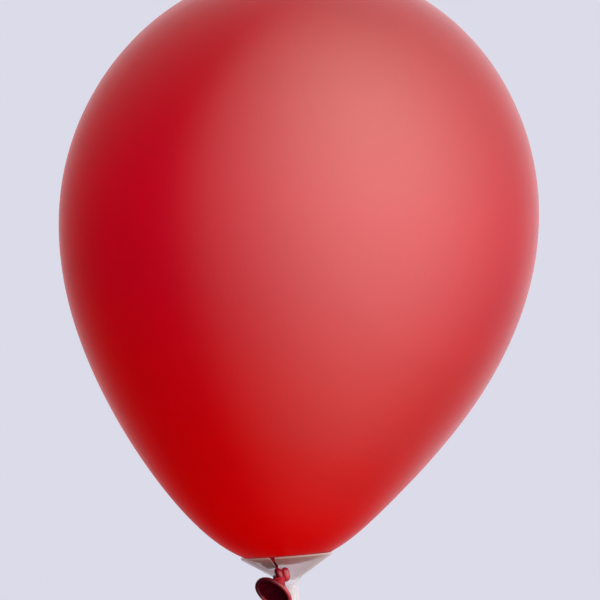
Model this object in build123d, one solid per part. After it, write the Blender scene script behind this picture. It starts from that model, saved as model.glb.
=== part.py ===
from build123d import *
from math import cos, exp, pi, radians, sin, tan
import os

# A latex balloon, blown up and knotted, sitting in a plastic cup on a hollow stick.
# Millimetres. The origin is the middle of the stick's free lower end, and +Z runs up the stick.
# The cup is coaxial with the stick, and the balloon leans towards +X.

# Stick: a plain tube with a slimmer spigot that the cup pushes down on to
STICK_LENGTH = 300.0
STICK_RADIUS = 2.7
STICK_BORE_RADIUS = 1.7
STICK_CHAMFER = 0.3
SPIGOT_LENGTH = 14.0
SPIGOT_RADIUS = 2.45

# Cup: a funnel with a straight wall, open slots for the neck, and a socket below
CUP_HEIGHT = 28.0
CUP_RADIUS = 21.0
CUP_WALL = 0.75
CUP_HALF_ANGLE = 57.8
FUNNEL_DEPTH = 11.4
HUB_RADIUS = 4.15
HUB_BLEND = 5.0
FLOOR_BLEND = 1.0
HUB_CHAMFER = 0.35
SOCKET_RUNNING_GAP = 0.05
SOCKET_END_GAP = 1.0
SLOT_COUNT = 3
SLOT_WIDTH = 1.8
SLOT_INNER_RADIUS = 12.5
SLOT_MOUTH_WIDTH = 3.0
SLOT_MOUTH_DEPTH = 1.6
NECK_SLOT_ANGLE = -109.0

# Envelope: a body of revolution, radius = REACH sin t exp(k1 cos t + k2 cos^2 t + k3 cos^3 t)
# and height = LENGTH (1 - cos t) / 2, with t from 0 at the neck to 180 degrees at the crown
ENVELOPE_LENGTH = 273.8
ENVELOPE_REACH = 107.9
ENVELOPE_SHAPE = (-0.198, -0.171, -0.068)
ENVELOPE_LEAN = 9.8
ENVELOPE_OFFSET = -9.9
ENVELOPE_SINK = 3.1
SKIN = 0.3
PROFILE_SPANS = 18

# Neck, knot and mouth, as places in the cup's frame: x, y and height above the rim
NECK_RADIUS = 1.3
STRETCHED_NECK_RADIUS = 0.6
NECK_SEAM = 0.02
NECK_ROUTE = ((-9.9, 0.0, -3.4), (-9.0, -4.0, -4.3), (-6.6, -9.6, -3.9))
NECK_INSIDE_SLOT = (13.3, -2.9)
NECK_OUTSIDE_SLOT = (16.0, -5.7)
KNOT_CENTRE = (-3.1, -15.3, -8.0)
KNOT_RADIUS = 2.75
TAIL_DIRECTION = (-0.42, -0.60, -0.68)
TAIL_GAP = 0.3

# Skirt and bead on the tail's axis, as radius and distance from the knot's centre
MOUTH_DISTANCE = 11.4
BEAD_RING_RADIUS = 8.45
BEAD_RADIUS = 0.85
SKIRT_ROOT_RADIUS = 2.0
SKIRT_OUTSIDE = ((SKIRT_ROOT_RADIUS, 3.6), (3.4, 5.6), (6.0, 8.6), (BEAD_RING_RADIUS, MOUTH_DISTANCE))
SKIRT_INSIDE = ((1.55, 4.05), (2.95, 6.05), (5.55, 8.6), (8.0, MOUTH_DISTANCE))

RIM_HEIGHT = STICK_LENGTH - SPIGOT_LENGTH + CUP_HEIGHT


def above_rim(x, y, z):
    """A place given from the centre of the cup's rim, in the part's frame."""
    return Vector(x, y, z + RIM_HEIGHT)


def in_slot_plane(radius, height):
    """A place in the middle plane of the slot that holds the neck."""
    angle = radians(NECK_SLOT_ANGLE)
    return above_rim(radius * cos(angle), radius * sin(angle), height)


def rod(start, end, radius):
    """A straight round rod between two places."""
    axis = end - start
    along = Plane(origin=start, z_dir=axis)
    return along * Cylinder(radius, axis.length, align=(Align.CENTER, Align.CENTER, Align.MIN))


def round_ended_chain(places, radius):
    """Rods from place to place with a ball at each one."""
    chain = Pos(*places[0]) * Sphere(radius)
    for start, end in zip(places, places[1:]):
        chain += rod(start, end, radius)
        chain += Pos(*end) * Sphere(radius)
    return chain


def corner_of(face, radius, height):
    """The corner of an XZ profile nearest to a radius and height."""
    return face.vertices().sort_by_distance((radius, 0, height))[0]


def stick():
    shoulder = STICK_LENGTH - SPIGOT_LENGTH
    outline = Polyline(
        (STICK_BORE_RADIUS, 0),
        (STICK_RADIUS - STICK_CHAMFER, 0),
        (STICK_RADIUS, STICK_CHAMFER),
        (STICK_RADIUS, shoulder),
        (SPIGOT_RADIUS, shoulder),
        (SPIGOT_RADIUS, STICK_LENGTH - STICK_CHAMFER),
        (SPIGOT_RADIUS - STICK_CHAMFER, STICK_LENGTH),
        (STICK_BORE_RADIUS, STICK_LENGTH),
        close=True,
    )
    return revolve(Plane.XZ * make_face(outline), Axis.Z)


def cup_body():
    """The funnel, hub and socket, turned about Z with the rim at height 0."""
    spread = tan(radians(CUP_HALF_ANGLE))
    rim_edge = CUP_WALL / sin(radians(CUP_HALF_ANGLE))
    floor_radius = CUP_RADIUS - spread * FUNNEL_DEPTH
    hub_top = rim_edge + (CUP_RADIUS - HUB_RADIUS) / spread
    socket_radius = SPIGOT_RADIUS + SOCKET_RUNNING_GAP
    socket_top = -CUP_HEIGHT + SPIGOT_LENGTH + SOCKET_END_GAP
    outline = Polyline(
        (0, -FUNNEL_DEPTH),
        (floor_radius, -FUNNEL_DEPTH),
        (CUP_RADIUS, 0),
        (CUP_RADIUS, -rim_edge),
        (HUB_RADIUS, -hub_top),
        (HUB_RADIUS, -CUP_HEIGHT + HUB_CHAMFER),
        (HUB_RADIUS - HUB_CHAMFER, -CUP_HEIGHT),
        (socket_radius, -CUP_HEIGHT),
        (socket_radius, socket_top),
        (0, socket_top),
        close=True,
    )
    profile = Plane.XZ * make_face(outline)
    profile = fillet(corner_of(profile, HUB_RADIUS, -hub_top), HUB_BLEND)
    profile = fillet(corner_of(profile, floor_radius, -FUNNEL_DEPTH), FLOOR_BLEND)
    return revolve(profile, Axis.Z)


def slot_cutter():
    """A radial slot along +X that is open at the rim, where its mouth widens."""
    outer = CUP_RADIUS + 1
    half, half_mouth = SLOT_WIDTH / 2, SLOT_MOUTH_WIDTH / 2
    flare = CUP_RADIUS - SLOT_MOUTH_DEPTH
    upper = [(SLOT_INNER_RADIUS, half), (flare, half), (CUP_RADIUS, half_mouth), (outer, half_mouth)]
    lower = [(x, -y) for x, y in reversed(upper)]
    plan = make_face(Polyline(*upper, *lower, close=True))
    plan += Pos(SLOT_INNER_RADIUS, 0) * Circle(half)
    return extrude(Pos(0, 0, -FUNNEL_DEPTH) * plan, FUNNEL_DEPTH + 1)


def cup():
    body = cup_body()
    for index in range(SLOT_COUNT):
        turn = NECK_SLOT_ANGLE + index * 360 / SLOT_COUNT
        body -= Rot(0, 0, turn) * slot_cutter()
    return Pos(0, 0, RIM_HEIGHT) * body


def envelope_profile(inset):
    """The envelope's outline from neck to crown, moved inwards by the inset."""
    k1, k2, k3 = ENVELOPE_SHAPE
    steps = [pi * index / PROFILE_SPANS for index in range(PROFILE_SPANS + 1)]
    places, directions = [], []
    for t in steps:
        c, s = cos(t), sin(t)
        swell = ENVELOPE_REACH * exp(k1 * c + k2 * c**2 + k3 * c**3)
        along = Vector(swell * (c - s * s * (k1 + 2 * k2 * c + 3 * k3 * c**2)), ENVELOPE_LENGTH * s / 2)
        inwards = Vector(-along.Y, along.X).normalized()
        places.append(Vector(swell * s, ENVELOPE_LENGTH * (1 - c) / 2) + inwards * inset)
        directions.append(along)
    ends = [directions[0], directions[-1]]
    return Edge.make_spline(places, tangents=ends, parameters=steps, scale=False)


def filled_envelope(inset):
    """A solid of revolution on the envelope's outline, in its place in the cup."""
    curve = envelope_profile(inset)
    turned = revolve(Plane.XZ * make_face(curve + Line(curve @ 1, curve @ 0)), Axis.Z)
    seat = above_rim(ENVELOPE_OFFSET, 0, -ENVELOPE_SINK)
    return Pos(*seat) * Rot(0, ENVELOPE_LEAN, 0) * turned


def balloon_envelope():
    """The hollow skin, closed at the neck, where the real one is gathered and tied."""
    return filled_envelope(0) - filled_envelope(SKIN)


def balloon_neck():
    """From the envelope's underside to the slot, then stretched thin through it to the knot."""
    inside = in_slot_plane(*NECK_INSIDE_SLOT)
    outside = in_slot_plane(*NECK_OUTSIDE_SLOT)
    knot = above_rim(*KNOT_CENTRE)
    thick = [above_rim(*place) for place in NECK_ROUTE] + [inside]
    neck = round_ended_chain(thick, NECK_RADIUS)
    neck += round_ended_chain([inside, outside, knot], STRETCHED_NECK_RADIUS)
    neck -= filled_envelope(-NECK_SEAM)
    return neck - Pos(*knot) * Sphere(KNOT_RADIUS)


def neck_knot():
    return Pos(*above_rim(*KNOT_CENTRE)) * Sphere(KNOT_RADIUS)


def tail_plane():
    return Plane(origin=above_rim(*KNOT_CENTRE), z_dir=TAIL_DIRECTION)


def mouth_skirt():
    """The flared funnel, from just clear of the knot to the bead."""
    outer = Spline(*SKIRT_OUTSIDE)
    inner = Spline(*SKIRT_INSIDE)
    mouth = Line(outer @ 1, inner @ 1)
    floor = Line(inner @ 0, (0, (inner @ 0).Y))
    core = Line((0, (inner @ 0).Y), (0, 0))
    root = Polyline((0, 0), (SKIRT_ROOT_RADIUS, 0), SKIRT_OUTSIDE[0])
    face = Plane.XZ * make_face(outer + mouth + inner + floor + core + root)
    skirt = revolve(face, Axis.Z) - Sphere(KNOT_RADIUS + TAIL_GAP)
    skirt -= Pos(0, 0, MOUTH_DISTANCE) * Torus(BEAD_RING_RADIUS, BEAD_RADIUS)
    return tail_plane() * skirt


def mouth_bead():
    return tail_plane() * Pos(0, 0, MOUTH_DISTANCE) * Torus(BEAD_RING_RADIUS, BEAD_RADIUS)


NODES = {
    "stick": stick,
    "cup": cup,
    "balloon_envelope": balloon_envelope,
    "balloon_neck": balloon_neck,
    "neck_knot": neck_knot,
    "mouth_skirt": mouth_skirt,
    "mouth_bead": mouth_bead,
}

os.makedirs("parts", exist_ok=True)
for name, make in NODES.items():
    export_step(make(), f"parts/{name}.step")
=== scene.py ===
from math import cos, exp, hypot, pi, radians, sin, tan, tau

import bpy
import numpy as np
from mathutils import Matrix, Vector, noise


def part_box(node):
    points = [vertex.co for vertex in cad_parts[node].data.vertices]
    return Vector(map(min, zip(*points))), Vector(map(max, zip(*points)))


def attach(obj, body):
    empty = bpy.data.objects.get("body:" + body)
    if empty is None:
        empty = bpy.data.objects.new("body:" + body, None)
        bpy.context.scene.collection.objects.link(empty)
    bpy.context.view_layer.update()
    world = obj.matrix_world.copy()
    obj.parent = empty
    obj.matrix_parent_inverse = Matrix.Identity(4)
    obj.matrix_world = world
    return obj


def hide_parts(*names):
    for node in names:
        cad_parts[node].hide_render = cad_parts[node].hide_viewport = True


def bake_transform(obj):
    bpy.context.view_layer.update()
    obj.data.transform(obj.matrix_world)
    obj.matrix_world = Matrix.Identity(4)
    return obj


# A latex balloon sitting in a plastic cup on a hollow stick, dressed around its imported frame.
# Metres, in the frame's own axes: the origin is the stick's free end and the stick runs up +Z.

MM = 0.001

# Camera and what it stands in
CAMERA_DISTANCE = 3.0
CAMERA_HEIGHT_OVER_RIM = 0.1155
CAMERA_ASIDE = 0.0147
CAMERA_ROLL = radians(4.3)
VIEW_WIDTH = 0.2739
SENSOR = 36.0
FLOOR_RADIUS = 4.0
FLOOR_AROUND = 96
FLOOR_DROP = 0.5 * MM

# The envelope's outline: radius = REACH sin t exp(k1 cos t + k2 cos^2 t + k3 cos^3 t),
# height = LENGTH (1 - cos t) / 2, with t from 0 at the neck to 180 degrees at the crown
ENVELOPE_LENGTH = 273.8 * MM
ENVELOPE_REACH = 107.9 * MM
ENVELOPE_SHAPE = (-0.198, -0.171, -0.068)
ENVELOPE_LEAN = radians(9.8)
ENVELOPE_OFFSET = -9.9 * MM
ENVELOPE_SINK = 3.1 * MM

# How the skin rests on the cup's rim, and its small unevennesses
SEAT_SPREAD = 5.3 * MM
SEAT_FADE = 24 * MM
SEAT_CORE = 4.5 * MM
CUP_HALF_ANGLE = radians(57.8)
CUP_LIP = 0.9 * MM
LIP_BLEND = 0.2 * MM
RIM_GAP = 0.4 * MM
RIM_DENT = 1.4 * MM
# Painted shade on the skin below the rim, inside the cup: where it starts and how far it fades in
CUP_SHADE_FROM = 0.9 * MM
CUP_SHADE_FADE = 1.3 * MM
PLEATS = ((11, 0.5, 0.4), (17, 0.35, 2.1), (23, 0.25, 4.0))
PLEAT_DEPTH = 0.28 * MM
PLEAT_REACH = 13 * MM
PLEAT_ROOT = 3 * MM
PLEAT_TWIST = 25
CROWN_DRIFT = 1.6 * MM
CROWN_DRIFT_FROM = 0.5
WAVER = 0.12 * MM
WAVER_SCALE = 22
WAVER_ROOT = 30 * MM
SKIN_MIDDLE = 0.55
SKIN_RINGS, SKIN_AROUND = 200, 288

# The neck's route, the knot and the mouth, from the middle of the rim
NECK_ROUTE = ((-9.9, 0.0, -2.6), (-9.6, -1.2, -3.8), (-8.6, -4.6, -4.3), (-6.4, -9.8, -3.9),
              (-4.33, -12.58, -2.9), (-5.0, -15.0, -5.2), (-3.9, -15.4, -6.6), (-3.1, -15.3, -8.0))
NECK_RADII = (2.4, 1.35, 1.3, 1.2, 0.7, 0.66, 1.0, 1.3)
NECK_LOBES = ((3, 0.6, 0.2), (5, 0.3, 1.9), (9, 0.2, 0.7))
NECK_LUMP = 0.16
NECK_TWIST = 9
NECK_RINGS, NECK_AROUND = 90, 40
NECK_SHADE = 0.7
KNOT_CENTRE = (-3.1, -15.3, -8.0)
KNOT_AXIS = (0.90, 0.30, 0.28)
KNOT_SQUEEZE = 0.80
KNOT_LOBES = ((2, 0.7, 0.5), (7, 0.22, 1.0), (12, 0.13, 2.0))
KNOT_LUMP = 0.09
KNOT_AROUND = 36
KNOT_SHADE = 0.75
WRAP_TURNS = 2
WRAP_RINGS = 150
WRAP_REACH = 1.95 * MM
WRAP_STRETCH = 1.28
WRAP_SLIDE = 6.6 * MM
WRAP_DROP = 0.5 * MM
WRAP_THICKNESS = 1.78 * MM
LOCK_ROUTE = ((3.0, 0, -0.6), (1.4, 0, -0.3), (0, 0, 0), (0, 2.2, 0), (0, 3.6, 0))
LOCK_RINGS = 50
LOCK_THICKNESS = 1.5 * MM
CUP_WALL_NORMAL = (-0.174, -0.504, -0.846)
MOUTH_CENTRE = (-7.2, -22.1, -16.1)
MOUTH_DIRECTION = (-0.527, -0.60, -0.602)
TAIL_BEND = 6.5 * MM
FUNNEL_OUTLINE = ((1.5, 0.02), (1.9, 0.18), (2.3, 0.34), (3.1, 0.50), (4.7, 0.68), (6.9, 0.86), (8.45, 1.0))
FUNNEL_WALL = 0.3 * MM
FUNNEL_RINGS, FUNNEL_AROUND = 48, 120
FOLD_LOBES = ((5, 0.45, 0.9), (8, 0.35, 2.7), (13, 0.2, 5.1))
FOLD_TWIST = 0.7
FOLD_LEAST = 0.006
BEAD_RING_RADIUS = 8.45 * MM
BEAD_RADIUS = 0.95 * MM
BEAD_LOBES = ((3, 0.6, 0.3), (7, 0.4, 1.1), (19, 0.3, 0.2))
BEAD_LUMP = 0.045
BEAD_AROUND, BEAD_SECTION = 160, 28
BEAD_STEP = 0.10
BEAD_STEP_AT = 0.3
BEAD_DARK_SIDE = pi
BEAD_SHADE = 0.85

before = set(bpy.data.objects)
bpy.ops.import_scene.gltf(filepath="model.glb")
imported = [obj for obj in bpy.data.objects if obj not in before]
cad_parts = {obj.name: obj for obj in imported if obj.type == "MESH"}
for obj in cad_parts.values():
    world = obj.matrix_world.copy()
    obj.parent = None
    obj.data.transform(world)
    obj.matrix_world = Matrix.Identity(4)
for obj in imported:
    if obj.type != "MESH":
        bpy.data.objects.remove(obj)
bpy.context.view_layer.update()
scene = bpy.context.scene
RIM_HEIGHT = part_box("cup")[1].z
RIM_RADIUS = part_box("cup")[1].x


def above_rim(x, y, z):
    """A place given in millimetres from the middle of the rim, in the frame."""
    return Vector((x * MM, y * MM, z * MM + RIM_HEIGHT))


# ---------------------------------------------------------------- mesh building

def mesh_object(name, places, faces):
    """A smooth-shaded mesh object from numpy places and index faces."""
    mesh = bpy.data.meshes.new(name)
    mesh.from_pydata([tuple(p) for p in places], [], faces)
    mesh.polygons.foreach_set("use_smooth", [True] * len(mesh.polygons))
    mesh.update()
    made = bpy.data.objects.new(name, mesh)
    scene.collection.objects.link(made)
    return made


def ring_faces(rings, around, closed=False):
    """Quads between successive rings of places; closed also joins the last ring to the first."""
    faces = []
    for ring in range(rings if closed else rings - 1):
        low, high = ring * around, (ring + 1) % rings * around
        for step in range(around):
            after = (step + 1) % around
            faces.append((low + step, low + after, high + after, high + step))
    return faces


def capped(places, rings, around, start, end):
    """A tube of rings closed by a fan to one place at each end."""
    faces = ring_faces(rings, around)
    places = np.vstack([places, [start], [end]])
    first, last, top = len(places) - 2, len(places) - 1, (rings - 1) * around
    for step in range(around):
        after = (step + 1) % around
        faces.append((first, after, step))
        faces.append((last, top + step, top + after))
    return places, faces


def smooth_line(knots, count):
    """Evenly stepped places on a Catmull-Rom curve through the given rows of numbers."""
    rows = np.array(knots, float)
    rows = np.vstack([2 * rows[0] - rows[1], rows, 2 * rows[-1] - rows[-2]])
    found = []
    for u in np.linspace(0, len(rows) - 3, count):
        k = min(int(u), len(rows) - 4)
        f = u - k
        a, b, c, d = rows[k:k + 4]
        found.append(0.5 * (2 * b + (c - a) * f + (2 * a - 5 * b + 4 * c - d) * f**2
                            + (3 * b - a - 3 * c + d) * f**3))
    return np.array(found)


def carried_frames(line):
    """Two unit vectors across the line at each place, carried along it without twist."""
    along = np.gradient(line, axis=0)
    along /= np.linalg.norm(along, axis=1)[:, None]
    side = np.cross(along[0], (0.3, 0.2, 0.9))
    sides, ups = [], []
    for direction in along:
        side = side - direction * (side @ direction)
        side /= np.linalg.norm(side)
        sides.append(side)
        ups.append(np.cross(direction, side))
    return np.array(sides), np.array(ups)


def tube(line, radius_at, around):
    """Rings of places round a line; radius_at(share along, angle round) gives each radius."""
    sides, ups = carried_frames(line)
    places = []
    for index, middle in enumerate(line):
        share = index / (len(line) - 1)
        for step in range(around):
            turn = tau * step / around
            reach = radius_at(share, turn)
            places.append(middle + reach * (cos(turn) * sides[index] + sin(turn) * ups[index]))
    return np.array(places)


def ruffle(angle, lobes):
    """A wavy number near -1..1 round a circle, from (count, weight, phase) rows."""
    return sum(weight * cos(count * angle + phase) for count, weight, phase in lobes)


def store(obj, name, values):
    """Keeps one number per vertex for a material to read."""
    attribute = obj.data.attributes.new(name, "FLOAT", "POINT")
    attribute.data.foreach_set("value", np.asarray(values, np.float32))


# ---------------------------------------------------------------- the balloon's skin

def outline_at(t):
    """Height above the neck pole and radius of the envelope's outline."""
    k1, k2, k3 = ENVELOPE_SHAPE
    c = cos(t)
    height = ENVELOPE_LENGTH * (1 - c) / 2
    return height, ENVELOPE_REACH * sin(t) * exp(k1 * c + k2 * c**2 + k3 * c**3)


def seat_spread(height, radius, angle):
    """How far the skin is spread by resting on the rim; it hangs free on its -X side."""
    free_side = ((1 - cos(angle)) / 2) ** 3
    core = radius**2 / (radius**2 + SEAT_CORE**2)
    return SEAT_SPREAD * exp(-((height / SEAT_FADE) ** 2)) * (1 - free_side) * core


def kept_off_rim(place):
    """Lifted where it would touch the cup, because the rim dents the skin."""
    beyond = hypot(place.x, place.y) - RIM_RADIUS
    if beyond < RIM_DENT:
        place.z = max(place.z, RIM_HEIGHT + min(beyond, 0) / tan(CUP_HALF_ANGLE) + RIM_GAP)
    return place


def skin_place(t, angle, seat):
    """A place on the skin, t from neck to crown and angle round it; seat puts it in the cup."""
    height, radius = outline_at(t)
    pleat = ruffle(angle + height * PLEAT_TWIST, PLEATS) * exp(-((radius / PLEAT_REACH) ** 2))
    gather = min(1.0, radius / PLEAT_ROOT)
    above = max(0.0, height / ENVELOPE_LENGTH - CROWN_DRIFT_FROM) / (1 - CROWN_DRIFT_FROM)
    radius += seat_spread(height, radius, angle)
    local = Vector((radius * cos(angle), radius * sin(angle), height))
    local.z += PLEAT_DEPTH * pleat * gather
    local.x += CROWN_DRIFT * above**2
    place = seat @ local
    waver = noise.noise(place * WAVER_SCALE) * WAVER * min(1.0, radius / WAVER_ROOT)
    outward = (place - seat @ Vector((0, 0, ENVELOPE_LENGTH * SKIN_MIDDLE))).normalized()
    return kept_off_rim(place + outward * waver)


def balloon_skin():
    """The blown-up skin, pleated at the neck, spread and dented where it rests on the rim."""
    seat = (Matrix.Translation(above_rim(0, 0, 0) + Vector((ENVELOPE_OFFSET, 0, -ENVELOPE_SINK)))
            @ Matrix.Rotation(ENVELOPE_LEAN, 4, "Y"))
    steps = [pi * ((k + 1) / (SKIN_RINGS + 1)) for k in range(SKIN_RINGS)]
    turns = [tau * k / SKIN_AROUND for k in range(SKIN_AROUND)]
    places = [skin_place(t, turn, seat) for t in steps for turn in turns]
    low, high = seat @ Vector((0, 0, 0)), seat @ Vector((0, 0, ENVELOPE_LENGTH))
    places, faces = capped(np.array(places), SKIN_RINGS, SKIN_AROUND, low, high)
    skin = mesh_object("balloon_skin", places, faces)
    heights, radii = np.array([outline_at(t) for t in steps]).T
    store(skin, "stretch", np.append(np.repeat(radii / ENVELOPE_REACH, SKIN_AROUND), [0, 0]))
    store(skin, "rise", np.append(np.repeat(heights / ENVELOPE_LENGTH, SKIN_AROUND), [0, 1]))
    # Painted shade where the skin sits inside the cup, kept for the material
    below_rim = RIM_HEIGHT + CUP_SHADE_FROM - places[:, 2]
    store(skin, "cup_shade", np.clip(below_rim / CUP_SHADE_FADE, 0, 1))
    return skin


# ---------------------------------------------------------------- neck, knot and mouth

def neck_twist():
    """Gathered latex, twisted like a rope from the skin to the knot."""
    rows = [[*above_rim(*p), r * MM] for p, r in zip(NECK_ROUTE, NECK_RADII)]
    line = smooth_line(rows, NECK_RINGS)
    middle, thickness = line[:, :3], line[:, 3]

    def radius_at(share, turn):
        lump = NECK_LUMP * ruffle(turn + share * NECK_TWIST, NECK_LOBES)
        return thickness[round(share * (NECK_RINGS - 1))] * (1 + lump)

    places = tube(middle, radius_at, NECK_AROUND)
    places, faces = capped(places, NECK_RINGS, NECK_AROUND, middle[0], middle[-1])
    made = mesh_object("neck_twist", places, faces)
    store(made, "shade", np.full(len(places), NECK_SHADE))
    return made


def tail_line(share):
    """The middle of the tail from the knot (0) to the mouth (1), and its direction there."""
    start, end = above_rim(*KNOT_CENTRE), above_rim(*MOUTH_CENTRE)
    bend = end - Vector(MOUTH_DIRECTION).normalized() * TAIL_BEND
    place = start * (1 - share)**2 + bend * 2 * share * (1 - share) + end * share**2
    along = (bend - start) * (1 - share) + (end - bend) * share
    return place, along.normalized()


def tail_axes(share):
    """Place, direction and two vectors across at a share of the way down the tail."""
    place, along = tail_line(share)
    across = along.cross(Vector((0, 1, 0))).normalized()
    return place, along, across, across.cross(along)


def squeezed(places):
    """The knot's places, flattened a little where the knot lies against the cup."""
    centre = np.array(above_rim(*KNOT_CENTRE))
    normal = np.array(Vector(CUP_WALL_NORMAL).normalized())
    offset = (np.asarray(places) - centre) @ normal
    return np.asarray(places) - np.outer(offset * (1 - KNOT_SQUEEZE), normal)


def knot_strand(line, thickness, twist):
    """A lumpy strand of the knot that thins to half towards its two ends."""
    def radius_at(share, turn):
        swell = 0.5 + 0.5 * sin(pi * share) ** 0.5
        return thickness * swell * (1 + KNOT_LUMP * ruffle(turn + share * twist, KNOT_LOBES))

    places, faces = capped(tube(line, radius_at, KNOT_AROUND), len(line), KNOT_AROUND, line[0], line[-1])
    return squeezed(places), faces


def overhand_knot():
    """A tightened overhand knot: two turns side by side and the strand that locks them."""
    centre, along, _, _ = tail_axes(0.0)
    axis = Vector(KNOT_AXIS).normalized()
    front = axis.cross(Vector((0, 0, 1))).normalized()
    up = front.cross(axis)
    wrap = []
    for share in np.linspace(0, 1, WRAP_RINGS):
        turn = pi + share * tau * WRAP_TURNS
        reach = WRAP_REACH * min(1, 5 * share, 5 * (1 - share)) ** 0.6
        slide = (share - 0.5) * WRAP_SLIDE
        height = WRAP_STRETCH * reach * sin(turn) - WRAP_DROP
        wrap.append(centre + axis * slide + front * reach * cos(turn) + up * height)
    lock = smooth_line([centre + (up * rise + along * out + axis * aside) * MM
                        for rise, out, aside in LOCK_ROUTE], LOCK_RINGS)
    places, faces = [], []
    for more, quads in (knot_strand(np.array(wrap), WRAP_THICKNESS, 4),
                        knot_strand(lock, LOCK_THICKNESS, 6)):
        faces += [tuple(len(places) + index for index in face) for face in quads]
        places += list(more)
    made = mesh_object("overhand_knot", places, faces)
    beside = (np.array(places) - np.array(centre)) @ np.array(axis) / (3 * MM)
    store(made, "shade", KNOT_SHADE * np.clip(0.05 - beside, 0, 1))
    return made


def funnel_ring(radius, share, pleat):
    """A ring of places round the tail, folded by the pleat's share of its radius."""
    centre, _, across, up = tail_axes(share)
    ring = []
    for step in range(FUNNEL_AROUND):
        turn = tau * step / FUNNEL_AROUND
        reach = radius * (1 + pleat * ruffle(turn + share * FOLD_TWIST, FOLD_LOBES))
        ring.append(centre + across * reach * cos(turn) + up * reach * sin(turn))
    return ring


def mouth_funnel():
    """The flared mouth, pleated where it leaves the knot: down the outside, back up the inside."""
    outline = smooth_line(FUNNEL_OUTLINE, FUNNEL_RINGS)
    places = []
    for radius, share in outline:
        pleat = 0.15 * exp(-((share / 0.55) ** 2)) + FOLD_LEAST
        places += funnel_ring(radius * MM, share, pleat)
    for radius, share in outline[::-1]:
        pleat = 0.22 * exp(-((share / 0.6) ** 2)) + FOLD_LEAST
        throat = min(1.0, share / 0.5) ** 1.5
        inner = max((radius * MM - FUNNEL_WALL) * throat, 0.1 * MM)
        places += funnel_ring(inner, share + 0.01, pleat)
    return mesh_object("mouth_funnel", places, ring_faces(2 * FUNNEL_RINGS, FUNNEL_AROUND, closed=True))


def mouth_roll():
    """The rolled bead: a spiral of latex whose outer turn ends in a small step."""
    centre, along, across, up = tail_axes(1.0)
    places = []
    for step in range(BEAD_AROUND):
        turn = tau * step / BEAD_AROUND
        out = across * cos(turn) + up * sin(turn)
        uneven = 1 + BEAD_LUMP * ruffle(turn, BEAD_LOBES)
        ring = BEAD_RING_RADIUS * (1 + 0.010 * cos(2 * turn + 0.7) + 0.006 * cos(5 * turn))
        for k in range(BEAD_SECTION):
            around_bead = tau * k / BEAD_SECTION
            step_in = 1 - BEAD_STEP * ((around_bead / tau + BEAD_STEP_AT) % 1)
            reach = BEAD_RADIUS * uneven * step_in
            places.append(centre + out * (ring + reach * cos(around_bead))
                          + along * reach * sin(around_bead))
    made = mesh_object("mouth_roll", places, ring_faces(BEAD_AROUND, BEAD_SECTION, closed=True))
    turns = np.repeat(np.arange(BEAD_AROUND), BEAD_SECTION) * tau / BEAD_AROUND
    store(made, "shade", BEAD_SHADE * np.clip(0.5 + 0.9 * np.cos(turns - BEAD_DARK_SIDE), 0, 1))
    return made


# ---------------------------------------------------------------- materials

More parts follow.
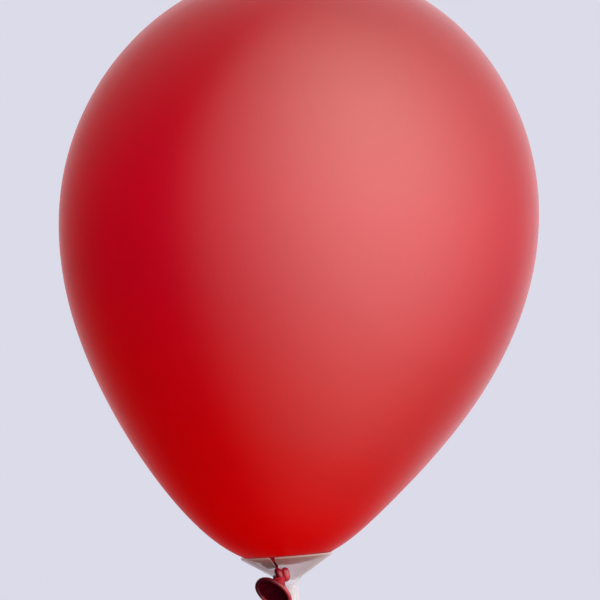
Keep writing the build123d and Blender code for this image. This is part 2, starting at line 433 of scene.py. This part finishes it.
class Nodes:
    """A short way to lay out the nodes of a material or a world."""

    def __init__(self, owner, output="ShaderNodeOutputMaterial"):
        self.owner = owner
        owner.use_nodes = True
        self.tree = owner.node_tree
        self.tree.nodes.clear()
        self.output = self.add(output)

    def add(self, kind, **settings):
        node = self.tree.nodes.new(kind)
        for key, value in settings.items():
            setattr(node, key, value)
        return node

    def join(self, source, target):
        self.tree.links.new(source, target)

    def place(self):
        return self.add("ShaderNodeTexCoord").outputs["Object"]

    def noise(self, scale, detail=4.0, stretch=None):
        """Noise over the object's own place; stretch scales its three axes."""
        spot = self.place()
        if stretch:
            mapping = self.add("ShaderNodeMapping")
            mapping.inputs["Scale"].default_value = stretch
            self.join(spot, mapping.inputs["Vector"])
            spot = mapping.outputs["Vector"]
        node = self.add("ShaderNodeTexNoise")
        node.inputs["Scale"].default_value = scale
        node.inputs["Detail"].default_value = detail
        self.join(spot, node.inputs["Vector"])
        return node.outputs["Fac"]

    def ramp(self, source, *stops):
        """A colour ramp over (position, colour) stops."""
        node = self.add("ShaderNodeValToRGB")
        while len(node.color_ramp.elements) < len(stops):
            node.color_ramp.elements.new(0.5)
        for element, (position, colour) in zip(node.color_ramp.elements, stops):
            element.position = position
            element.color = (*colour, 1)
        self.join(source, node.inputs["Fac"])
        return node.outputs["Color"]

    def span(self, source, low, high, start=0.0, end=1.0):
        """A number moved from start..end to low..high."""
        node = self.add("ShaderNodeMapRange")
        node.inputs["From Min"].default_value = start
        node.inputs["From Max"].default_value = end
        node.inputs["To Min"].default_value = low
        node.inputs["To Max"].default_value = high
        self.join(source, node.inputs["Value"])
        return node.outputs["Result"]

    def product(self, first, second):
        node = self.add("ShaderNodeMath", operation="MULTIPLY")
        self.join(first, node.inputs[0])
        self.join(second, node.inputs[1])
        return node.outputs[0]

    def mix_colour(self, share, first, second):
        node = self.add("ShaderNodeMix", data_type="RGBA")
        for value, socket in ((share, 0), (first, 6), (second, 7)):
            if isinstance(value, bpy.types.NodeSocket):
                self.join(value, node.inputs[socket])
            elif socket == 0:
                node.inputs[socket].default_value = value
            else:
                node.inputs[socket].default_value = (*value, 1)
        return node.outputs[2]

    def attribute(self, name):
        return self.add("ShaderNodeAttribute", attribute_name=name).outputs["Fac"]

    def bump(self, height, depth, strength=1.0, after=None):
        node = self.add("ShaderNodeBump")
        node.inputs["Distance"].default_value = depth
        node.inputs["Strength"].default_value = strength
        self.join(height, node.inputs["Height"])
        if after:
            self.join(after, node.inputs["Normal"])
        return node.outputs["Normal"]

    def principled(self, colour, roughness, normal=None, **values):
        node = self.add("ShaderNodeBsdfPrincipled")
        for value, socket in ((colour, "Base Color"), (roughness, "Roughness"), (normal, "Normal")):
            if isinstance(value, bpy.types.NodeSocket):
                self.join(value, node.inputs[socket])
            elif value is not None:
                node.inputs[socket].default_value = value
        for key, value in values.items():
            socket = node.inputs[key.replace("_", " ")]
            if isinstance(value, bpy.types.NodeSocket):
                self.join(value, socket)
            else:
                socket.default_value = value
        return node.outputs["BSDF"]

    def translucent(self, colour, normal=None):
        node = self.add("ShaderNodeBsdfTranslucent")
        if isinstance(colour, bpy.types.NodeSocket):
            self.join(colour, node.inputs["Color"])
        else:
            node.inputs["Color"].default_value = (*colour, 1)
        if normal:
            self.join(normal, node.inputs["Normal"])
        return node.outputs["BSDF"]

    def mix(self, share, first, second):
        node = self.add("ShaderNodeMixShader")
        if isinstance(share, bpy.types.NodeSocket):
            self.join(share, node.inputs[0])
        else:
            node.inputs[0].default_value = share
        self.join(first, node.inputs[1])
        self.join(second, node.inputs[2])
        return node.outputs[0]

    def done(self, shader):
        self.join(shader, self.output.inputs["Surface"])
        return self.owner


def material_nodes(name):
    return Nodes(bpy.data.materials.new(name))


GATHERED_BLOTCH = 420
GATHERED_GRAIN = 2600


def stretched_latex():
    """Thin blown-up latex: clear red, deeper at the crown, with painted light low down, painted shade in
    the cup and an uneven bloom.
    """
    n = material_nodes("stretched_latex")
    stretch, rise, cup_shade = (n.attribute(name) for name in ("stretch", "rise", "cup_shade"))
    blotch = n.noise(26, 3)
    speck = n.noise(900, 2)
    streak = n.noise(30, 3, stretch=(3, 3, 0.25))
    thick_and_painted_light = n.ramp(stretch,
                   (0.0, (0.36, 0.0001, 0.0005)), (0.10, (0.54, 0.0002, 0.001)),
                   (0.55, (0.52, 0.0004, 0.004)), (1.0, (0.50, 0.0008, 0.030)))
    # Painted light: the lower part is painted a brighter red, standing in for light from below
    low = n.span(rise, 1.0, 0.0, 0.05, 0.45)
    thick_and_painted_light = n.mix_colour(low, thick_and_painted_light, (0.76, 0.0001, 0.001))
    # Painted shade: darker where the skin sits inside the cup
    thick_and_painted_light = n.mix_colour(cup_shade, thick_and_painted_light, (0.26, 0.008, 0.025))
    # Darker near both poles: thicker latex, and at the neck painted shade for the cup's dark inside
    thick_and_painted_light = n.mix_colour(n.span(stretch, 0.8, 0.0, 0.02, 0.12), thick_and_painted_light, (0.16, 0.0, 0.002))
    high = n.span(rise, 0.0, 1.0, 0.6, 0.95)
    thick_and_painted_light = n.mix_colour(high, thick_and_painted_light, (0.26, 0.0004, 0.012))
    colour = n.mix_colour(n.span(blotch, 0.0, 0.30, 0.4, 0.75), thick_and_painted_light, (0.44, 0.0012, 0.018))
    colour = n.mix_colour(n.span(speck, 0.0, 0.03, 0.55, 0.8), colour, (0.55, 0.03, 0.04))
    rough = n.product(n.span(streak, 0.36, 0.48, 0.35, 0.7), n.span(rise, 0.8, 1.0, 0.0, 0.24))
    normal = n.bump(speck, 0.00002, 0.6)
    shine = n.span(rise, 0.0, 1.0, 0.03, 0.22)
    body = n.principled(colour, rough, normal, IOR=1.16, Specular_IOR_Level=0.5,
                        Coat_Weight=shine, Coat_Roughness=0.24, Coat_IOR=1.95)
    # The light let through is painted darker inside the cup too: painted shade
    deep = n.mix_colour(cup_shade, (0.98, 0.001, 0.014), (0.34, 0.006, 0.022))
    behind = n.translucent(n.mix_colour(0.5, thick_and_painted_light, deep), normal)
    return n.done(n.mix(0.6, body, behind))


def gathered_latex():
    """Unstretched latex: darker, nearly opaque and drier, with fine creases and a shaded side."""
    n = material_nodes("gathered_latex")
    blotch = n.noise(GATHERED_BLOTCH, 4)
    grain = n.noise(GATHERED_GRAIN, 3)
    shade = n.attribute("shade")
    colour = n.ramp(blotch, (0.3, (0.24, 0.002, 0.012)), (0.7, (0.42, 0.010, 0.030)))
    colour = n.mix_colour(shade, colour, (0.022, 0.0002, 0.003))
    rough = n.span(grain, 0.34, 0.54, 0.3, 0.7)
    crease = n.bump(blotch, 0.00025, 0.5)
    normal = n.bump(grain, 0.00006, 0.5, after=crease)
    body = n.principled(colour, rough, normal, IOR=1.22, Coat_IOR=1.7, Coat_Roughness=0.3,
                        Coat_Weight=n.span(shade, 0.6, 0.0))
    behind = n.translucent(n.mix_colour(shade, (0.36, 0.003, 0.02), (0.05, 0.0, 0.003)), normal)
    return n.done(n.mix(0.12, body, behind))


def mouth_lining():
    """The funnel's inside, in deep shade: dark and without gloss."""
    n = material_nodes("mouth_lining")
    blotch = n.noise(GATHERED_BLOTCH, 4)
    grain = n.noise(GATHERED_GRAIN, 3)
    colour = n.ramp(blotch, (0.3, (0.020, 0.0002, 0.002)), (0.7, (0.045, 0.0006, 0.005)))
    normal = n.bump(grain, 0.00006, 0.5, after=n.bump(blotch, 0.00025, 0.5))
    return n.done(n.principled(colour, n.span(grain, 0.6, 0.8, 0.3, 0.7), normal,
                               IOR=1.08, Specular_IOR_Level=0.1))


def frosted_plastic(name, tint, clear, rough_low, rough_high, lip=None):
    """Milky moulded plastic that light shines through, milkier from the lip's height upwards."""
    n = material_nodes(name)
    cloud = n.noise(160, 4)
    grain = n.noise(3000, 2)
    colour = n.mix_colour(n.span(cloud, 0.0, 0.6, 0.35, 0.7), tint, tuple(0.92 * c for c in tint))
    rough = n.span(grain, rough_low, rough_high, 0.3, 0.7)
    normal = n.bump(grain, 0.00003, 0.4, after=n.bump(cloud, 0.0004, 0.3))
    body = n.principled(colour, rough, normal, IOR=1.49, Specular_IOR_Level=0.5)
    milky = n.mix(0.55, body, n.translucent(tint, normal))
    edge = n.add("ShaderNodeLayerWeight")
    edge.inputs["Blend"].default_value = 0.3
    share = n.span(edge.outputs["Facing"], clear, clear * 0.35)
    if lip:
        height = n.add("ShaderNodeSeparateXYZ")
        n.join(n.place(), height.inputs[0])
        share = n.product(share, n.span(height.outputs["Z"], 1.0, 0.75, lip, lip + LIP_BLEND))
    see_through = n.add("ShaderNodeBsdfTransparent")
    see_through.inputs["Color"].default_value = (0.98, 0.97, 0.98, 1)
    return n.done(n.mix(share, milky, see_through.outputs[0]))


# ---------------------------------------------------------------- the pieces

def dress(piece, material, body, node):
    """Gives a piece its material and body, and lets it stand for a CAD node."""
    piece.data.materials.clear()
    piece.data.materials.append(material)
    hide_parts(node)
    if body:
        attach(piece, body)


def build_balloon():
    thin, thick_and_painted_light = stretched_latex(), gathered_latex()
    dress(balloon_skin(), thin, "balloon", "balloon_envelope")
    dress(neck_twist(), thick_and_painted_light, "balloon", "balloon_neck")
    dress(overhand_knot(), thick_and_painted_light, "balloon", "neck_knot")
    funnel = mouth_funnel()
    dress(funnel, thick_and_painted_light, None, "mouth_skirt")
    funnel.data.materials.append(mouth_lining())
    outside_then_inside = np.repeat([0, 1], len(funnel.data.polygons) // 2)
    funnel.data.polygons.foreach_set("material_index", outside_then_inside)
    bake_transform(funnel)
    dress(mouth_roll(), thick_and_painted_light, "tail", "mouth_bead")


def build_holder():
    for node, material, slot in (
        ("cup", frosted_plastic("cup_plastic", (1.0, 0.86, 0.85), 0.90, 0.35, 0.55,
                                lip=RIM_HEIGHT - CUP_LIP), "cup_plastic"),
        ("stick", frosted_plastic("stick_plastic", (0.91, 0.87, 0.92), 0.68, 0.25, 0.40), "stick_plastic"),
    ):
        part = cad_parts[node]
        part.data.materials.clear()
        part.data.materials.append(material)


# ---------------------------------------------------------------- stage, light and camera

BACKDROP = (0.716, 0.709, 0.815)
WINDOW = Vector((0.669, -0.743, 0.33))
WINDOW_FACING = Vector((0.788, -0.616, 0.0))
WINDOW_EDGE = (-0.48, -0.12)
BACK = Vector((0.16, 0.987, 0.0))
OVERHEAD = Vector((0.1, 0.7, 0.7))
KEY_AZIMUTH, KEY_ELEVATION = radians(50), radians(25)
KEY_DISTANCE = 2.2
KEY_WIDTH, KEY_HEIGHT = 1.6, 2.0
KEY_POWER = 1.0


def glow(n, towards, power, colour, strength, tall=1.0, facing=None):
    """A smooth pool of light in the surround, brightest in one direction.

    tall stretches it upright, and facing ends it softly at the plane square to that direction."""
    flat = n.add("ShaderNodeVectorMath", operation="MULTIPLY")
    flat.inputs[1].default_value = (1, 1, 1 / tall)
    n.join(n.add("ShaderNodeTexCoord").outputs["Generated"], flat.inputs[0])
    unit = n.add("ShaderNodeVectorMath", operation="NORMALIZE")
    n.join(flat.outputs["Vector"], unit.inputs[0])
    dot = n.add("ShaderNodeVectorMath", operation="DOT_PRODUCT")
    dot.inputs[1].default_value = towards.normalized()
    n.join(unit.outputs["Vector"], dot.inputs[0])
    half = n.span(dot.outputs["Value"], 0, 1, -1, 1)
    shape = n.add("ShaderNodeMath", operation="POWER")
    shape.inputs[1].default_value = power
    n.join(half, shape.inputs[0])
    scaled = n.add("ShaderNodeMath", operation="MULTIPLY")
    scaled.inputs[1].default_value = strength
    n.join(shape.outputs[0], scaled.inputs[0])
    if facing:
        beyond = n.add("ShaderNodeVectorMath", operation="DOT_PRODUCT")
        beyond.inputs[1].default_value = facing.normalized()
        n.join(unit.outputs["Vector"], beyond.inputs[0])
        n.join(n.span(beyond.outputs["Value"], 0.0, strength, *WINDOW_EDGE), scaled.inputs[1])
    light = n.add("ShaderNodeBackground")
    light.inputs["Color"].default_value = (*colour, 1)
    n.join(scaled.outputs[0], light.inputs["Strength"])
    return light.outputs[0]


def steady(n, colour, strength):
    light = n.add("ShaderNodeBackground")
    light.inputs["Color"].default_value = (*colour, 1)
    light.inputs["Strength"].default_value = strength
    return light.outputs[0]


def both(n, first, second):
    node = n.add("ShaderNodeAddShader")
    n.join(first, node.inputs[0])
    n.join(second, node.inputs[1])
    return node.outputs[0]


def build_world():
    """A surround that the camera sees as even lavender, and that lights the object with a big
    soft window to the right, a glow behind and a weaker one overhead."""
    world = bpy.data.worlds.new("surround")
    scene.world = world
    n = Nodes(world, "ShaderNodeOutputWorld")
    path = n.add("ShaderNodeLightPath")
    window = glow(n, WINDOW, 3.0, (0.90, 1.0, 0.88), 4.4, tall=1.5, facing=WINDOW_FACING)
    behind = glow(n, BACK, 14.0, (0.95, 0.92, 1.0), 1.3, tall=1.6)
    overhead = glow(n, OVERHEAD, 6.0, (1.0, 0.98, 0.98), 0.8)
    lighting = both(n, both(n, window, behind), overhead)
    n.done(n.mix(path.outputs["Is Camera Ray"], lighting, steady(n, BACKDROP, 1.0)))


def build_key_light(target):
    """A weak soft rectangle to the camera's right that the camera doesn't see."""
    data = bpy.data.lights.new("key", "AREA")
    data.shape = "RECTANGLE"
    data.size = KEY_WIDTH
    data.size_y = KEY_HEIGHT
    data.energy = KEY_POWER
    made = bpy.data.objects.new("key", data)
    away = Vector((sin(KEY_AZIMUTH) * cos(KEY_ELEVATION),
                   -cos(KEY_AZIMUTH) * cos(KEY_ELEVATION),
                   sin(KEY_ELEVATION)))
    made.location = target + away * KEY_DISTANCE
    made.rotation_euler = (-away).to_track_quat("-Z", "Y").to_euler()
    made.visible_camera = False
    scene.collection.objects.link(made)


def build_floor():
    """A pale round floor that fades into the surround at its edge."""
    turns = [tau * k / FLOOR_AROUND for k in range(FLOOR_AROUND)]
    places = [(radius * cos(turn), radius * sin(turn), -FLOOR_DROP)
              for radius in (FLOOR_RADIUS, FLOOR_RADIUS * 0.25) for turn in turns]
    faces = ring_faces(2, FLOOR_AROUND)
    faces.append(tuple(range(FLOOR_AROUND, 2 * FLOOR_AROUND)))
    floor = mesh_object("floor", places, faces)
    n = material_nodes("pale_floor")
    spot = n.add("ShaderNodeVectorMath", operation="LENGTH")
    n.join(n.place(), spot.inputs[0])
    fade = n.add("ShaderNodeMapRange", interpolation_type="SMOOTHSTEP")
    fade.inputs["From Min"].default_value = FLOOR_RADIUS * 0.12
    fade.inputs["From Max"].default_value = FLOOR_RADIUS * 0.8
    n.join(spot.outputs["Value"], fade.inputs["Value"])
    speck = n.noise(40, 3)
    colour = n.mix_colour(n.span(speck, 0.0, 1.0, 0.3, 0.7), (0.43, 0.38, 0.48), (0.41, 0.365, 0.46))
    matt = n.principled(colour, 0.95, IOR=1.2, Specular_IOR_Level=0.1)
    clear = n.add("ShaderNodeBsdfTransparent")
    floor.data.materials.append(n.done(n.mix(fade.outputs["Result"], matt, clear.outputs[0])))
    floor.visible_glossy = False
    floor.visible_diffuse = False


def build_camera():
    """A level camera on the -Y side, rolled a little, framed on the balloon."""
    data = bpy.data.cameras.new("camera")
    data.sensor_width = SENSOR
    data.lens = SENSOR / 2 / (VIEW_WIDTH / 2 / CAMERA_DISTANCE)
    data.clip_end = 100
    made = bpy.data.objects.new("camera", data)
    up = Vector((sin(CAMERA_ROLL), 0, cos(CAMERA_ROLL)))
    back = Vector((0, -1, 0))
    right = up.cross(back)
    made.matrix_world = Matrix.Translation(
        (CAMERA_ASIDE, -CAMERA_DISTANCE, RIM_HEIGHT + CAMERA_HEIGHT_OVER_RIM)
    ) @ Matrix((right, up, back)).transposed().to_4x4()
    scene.collection.objects.link(made)
    scene.camera = made


build_balloon()
build_holder()
build_world()
build_key_light(Vector((0.02, 0, RIM_HEIGHT + ENVELOPE_LENGTH * SKIN_MIDDLE)))
build_floor()
build_camera()
scene.view_settings.view_transform = "Standard"
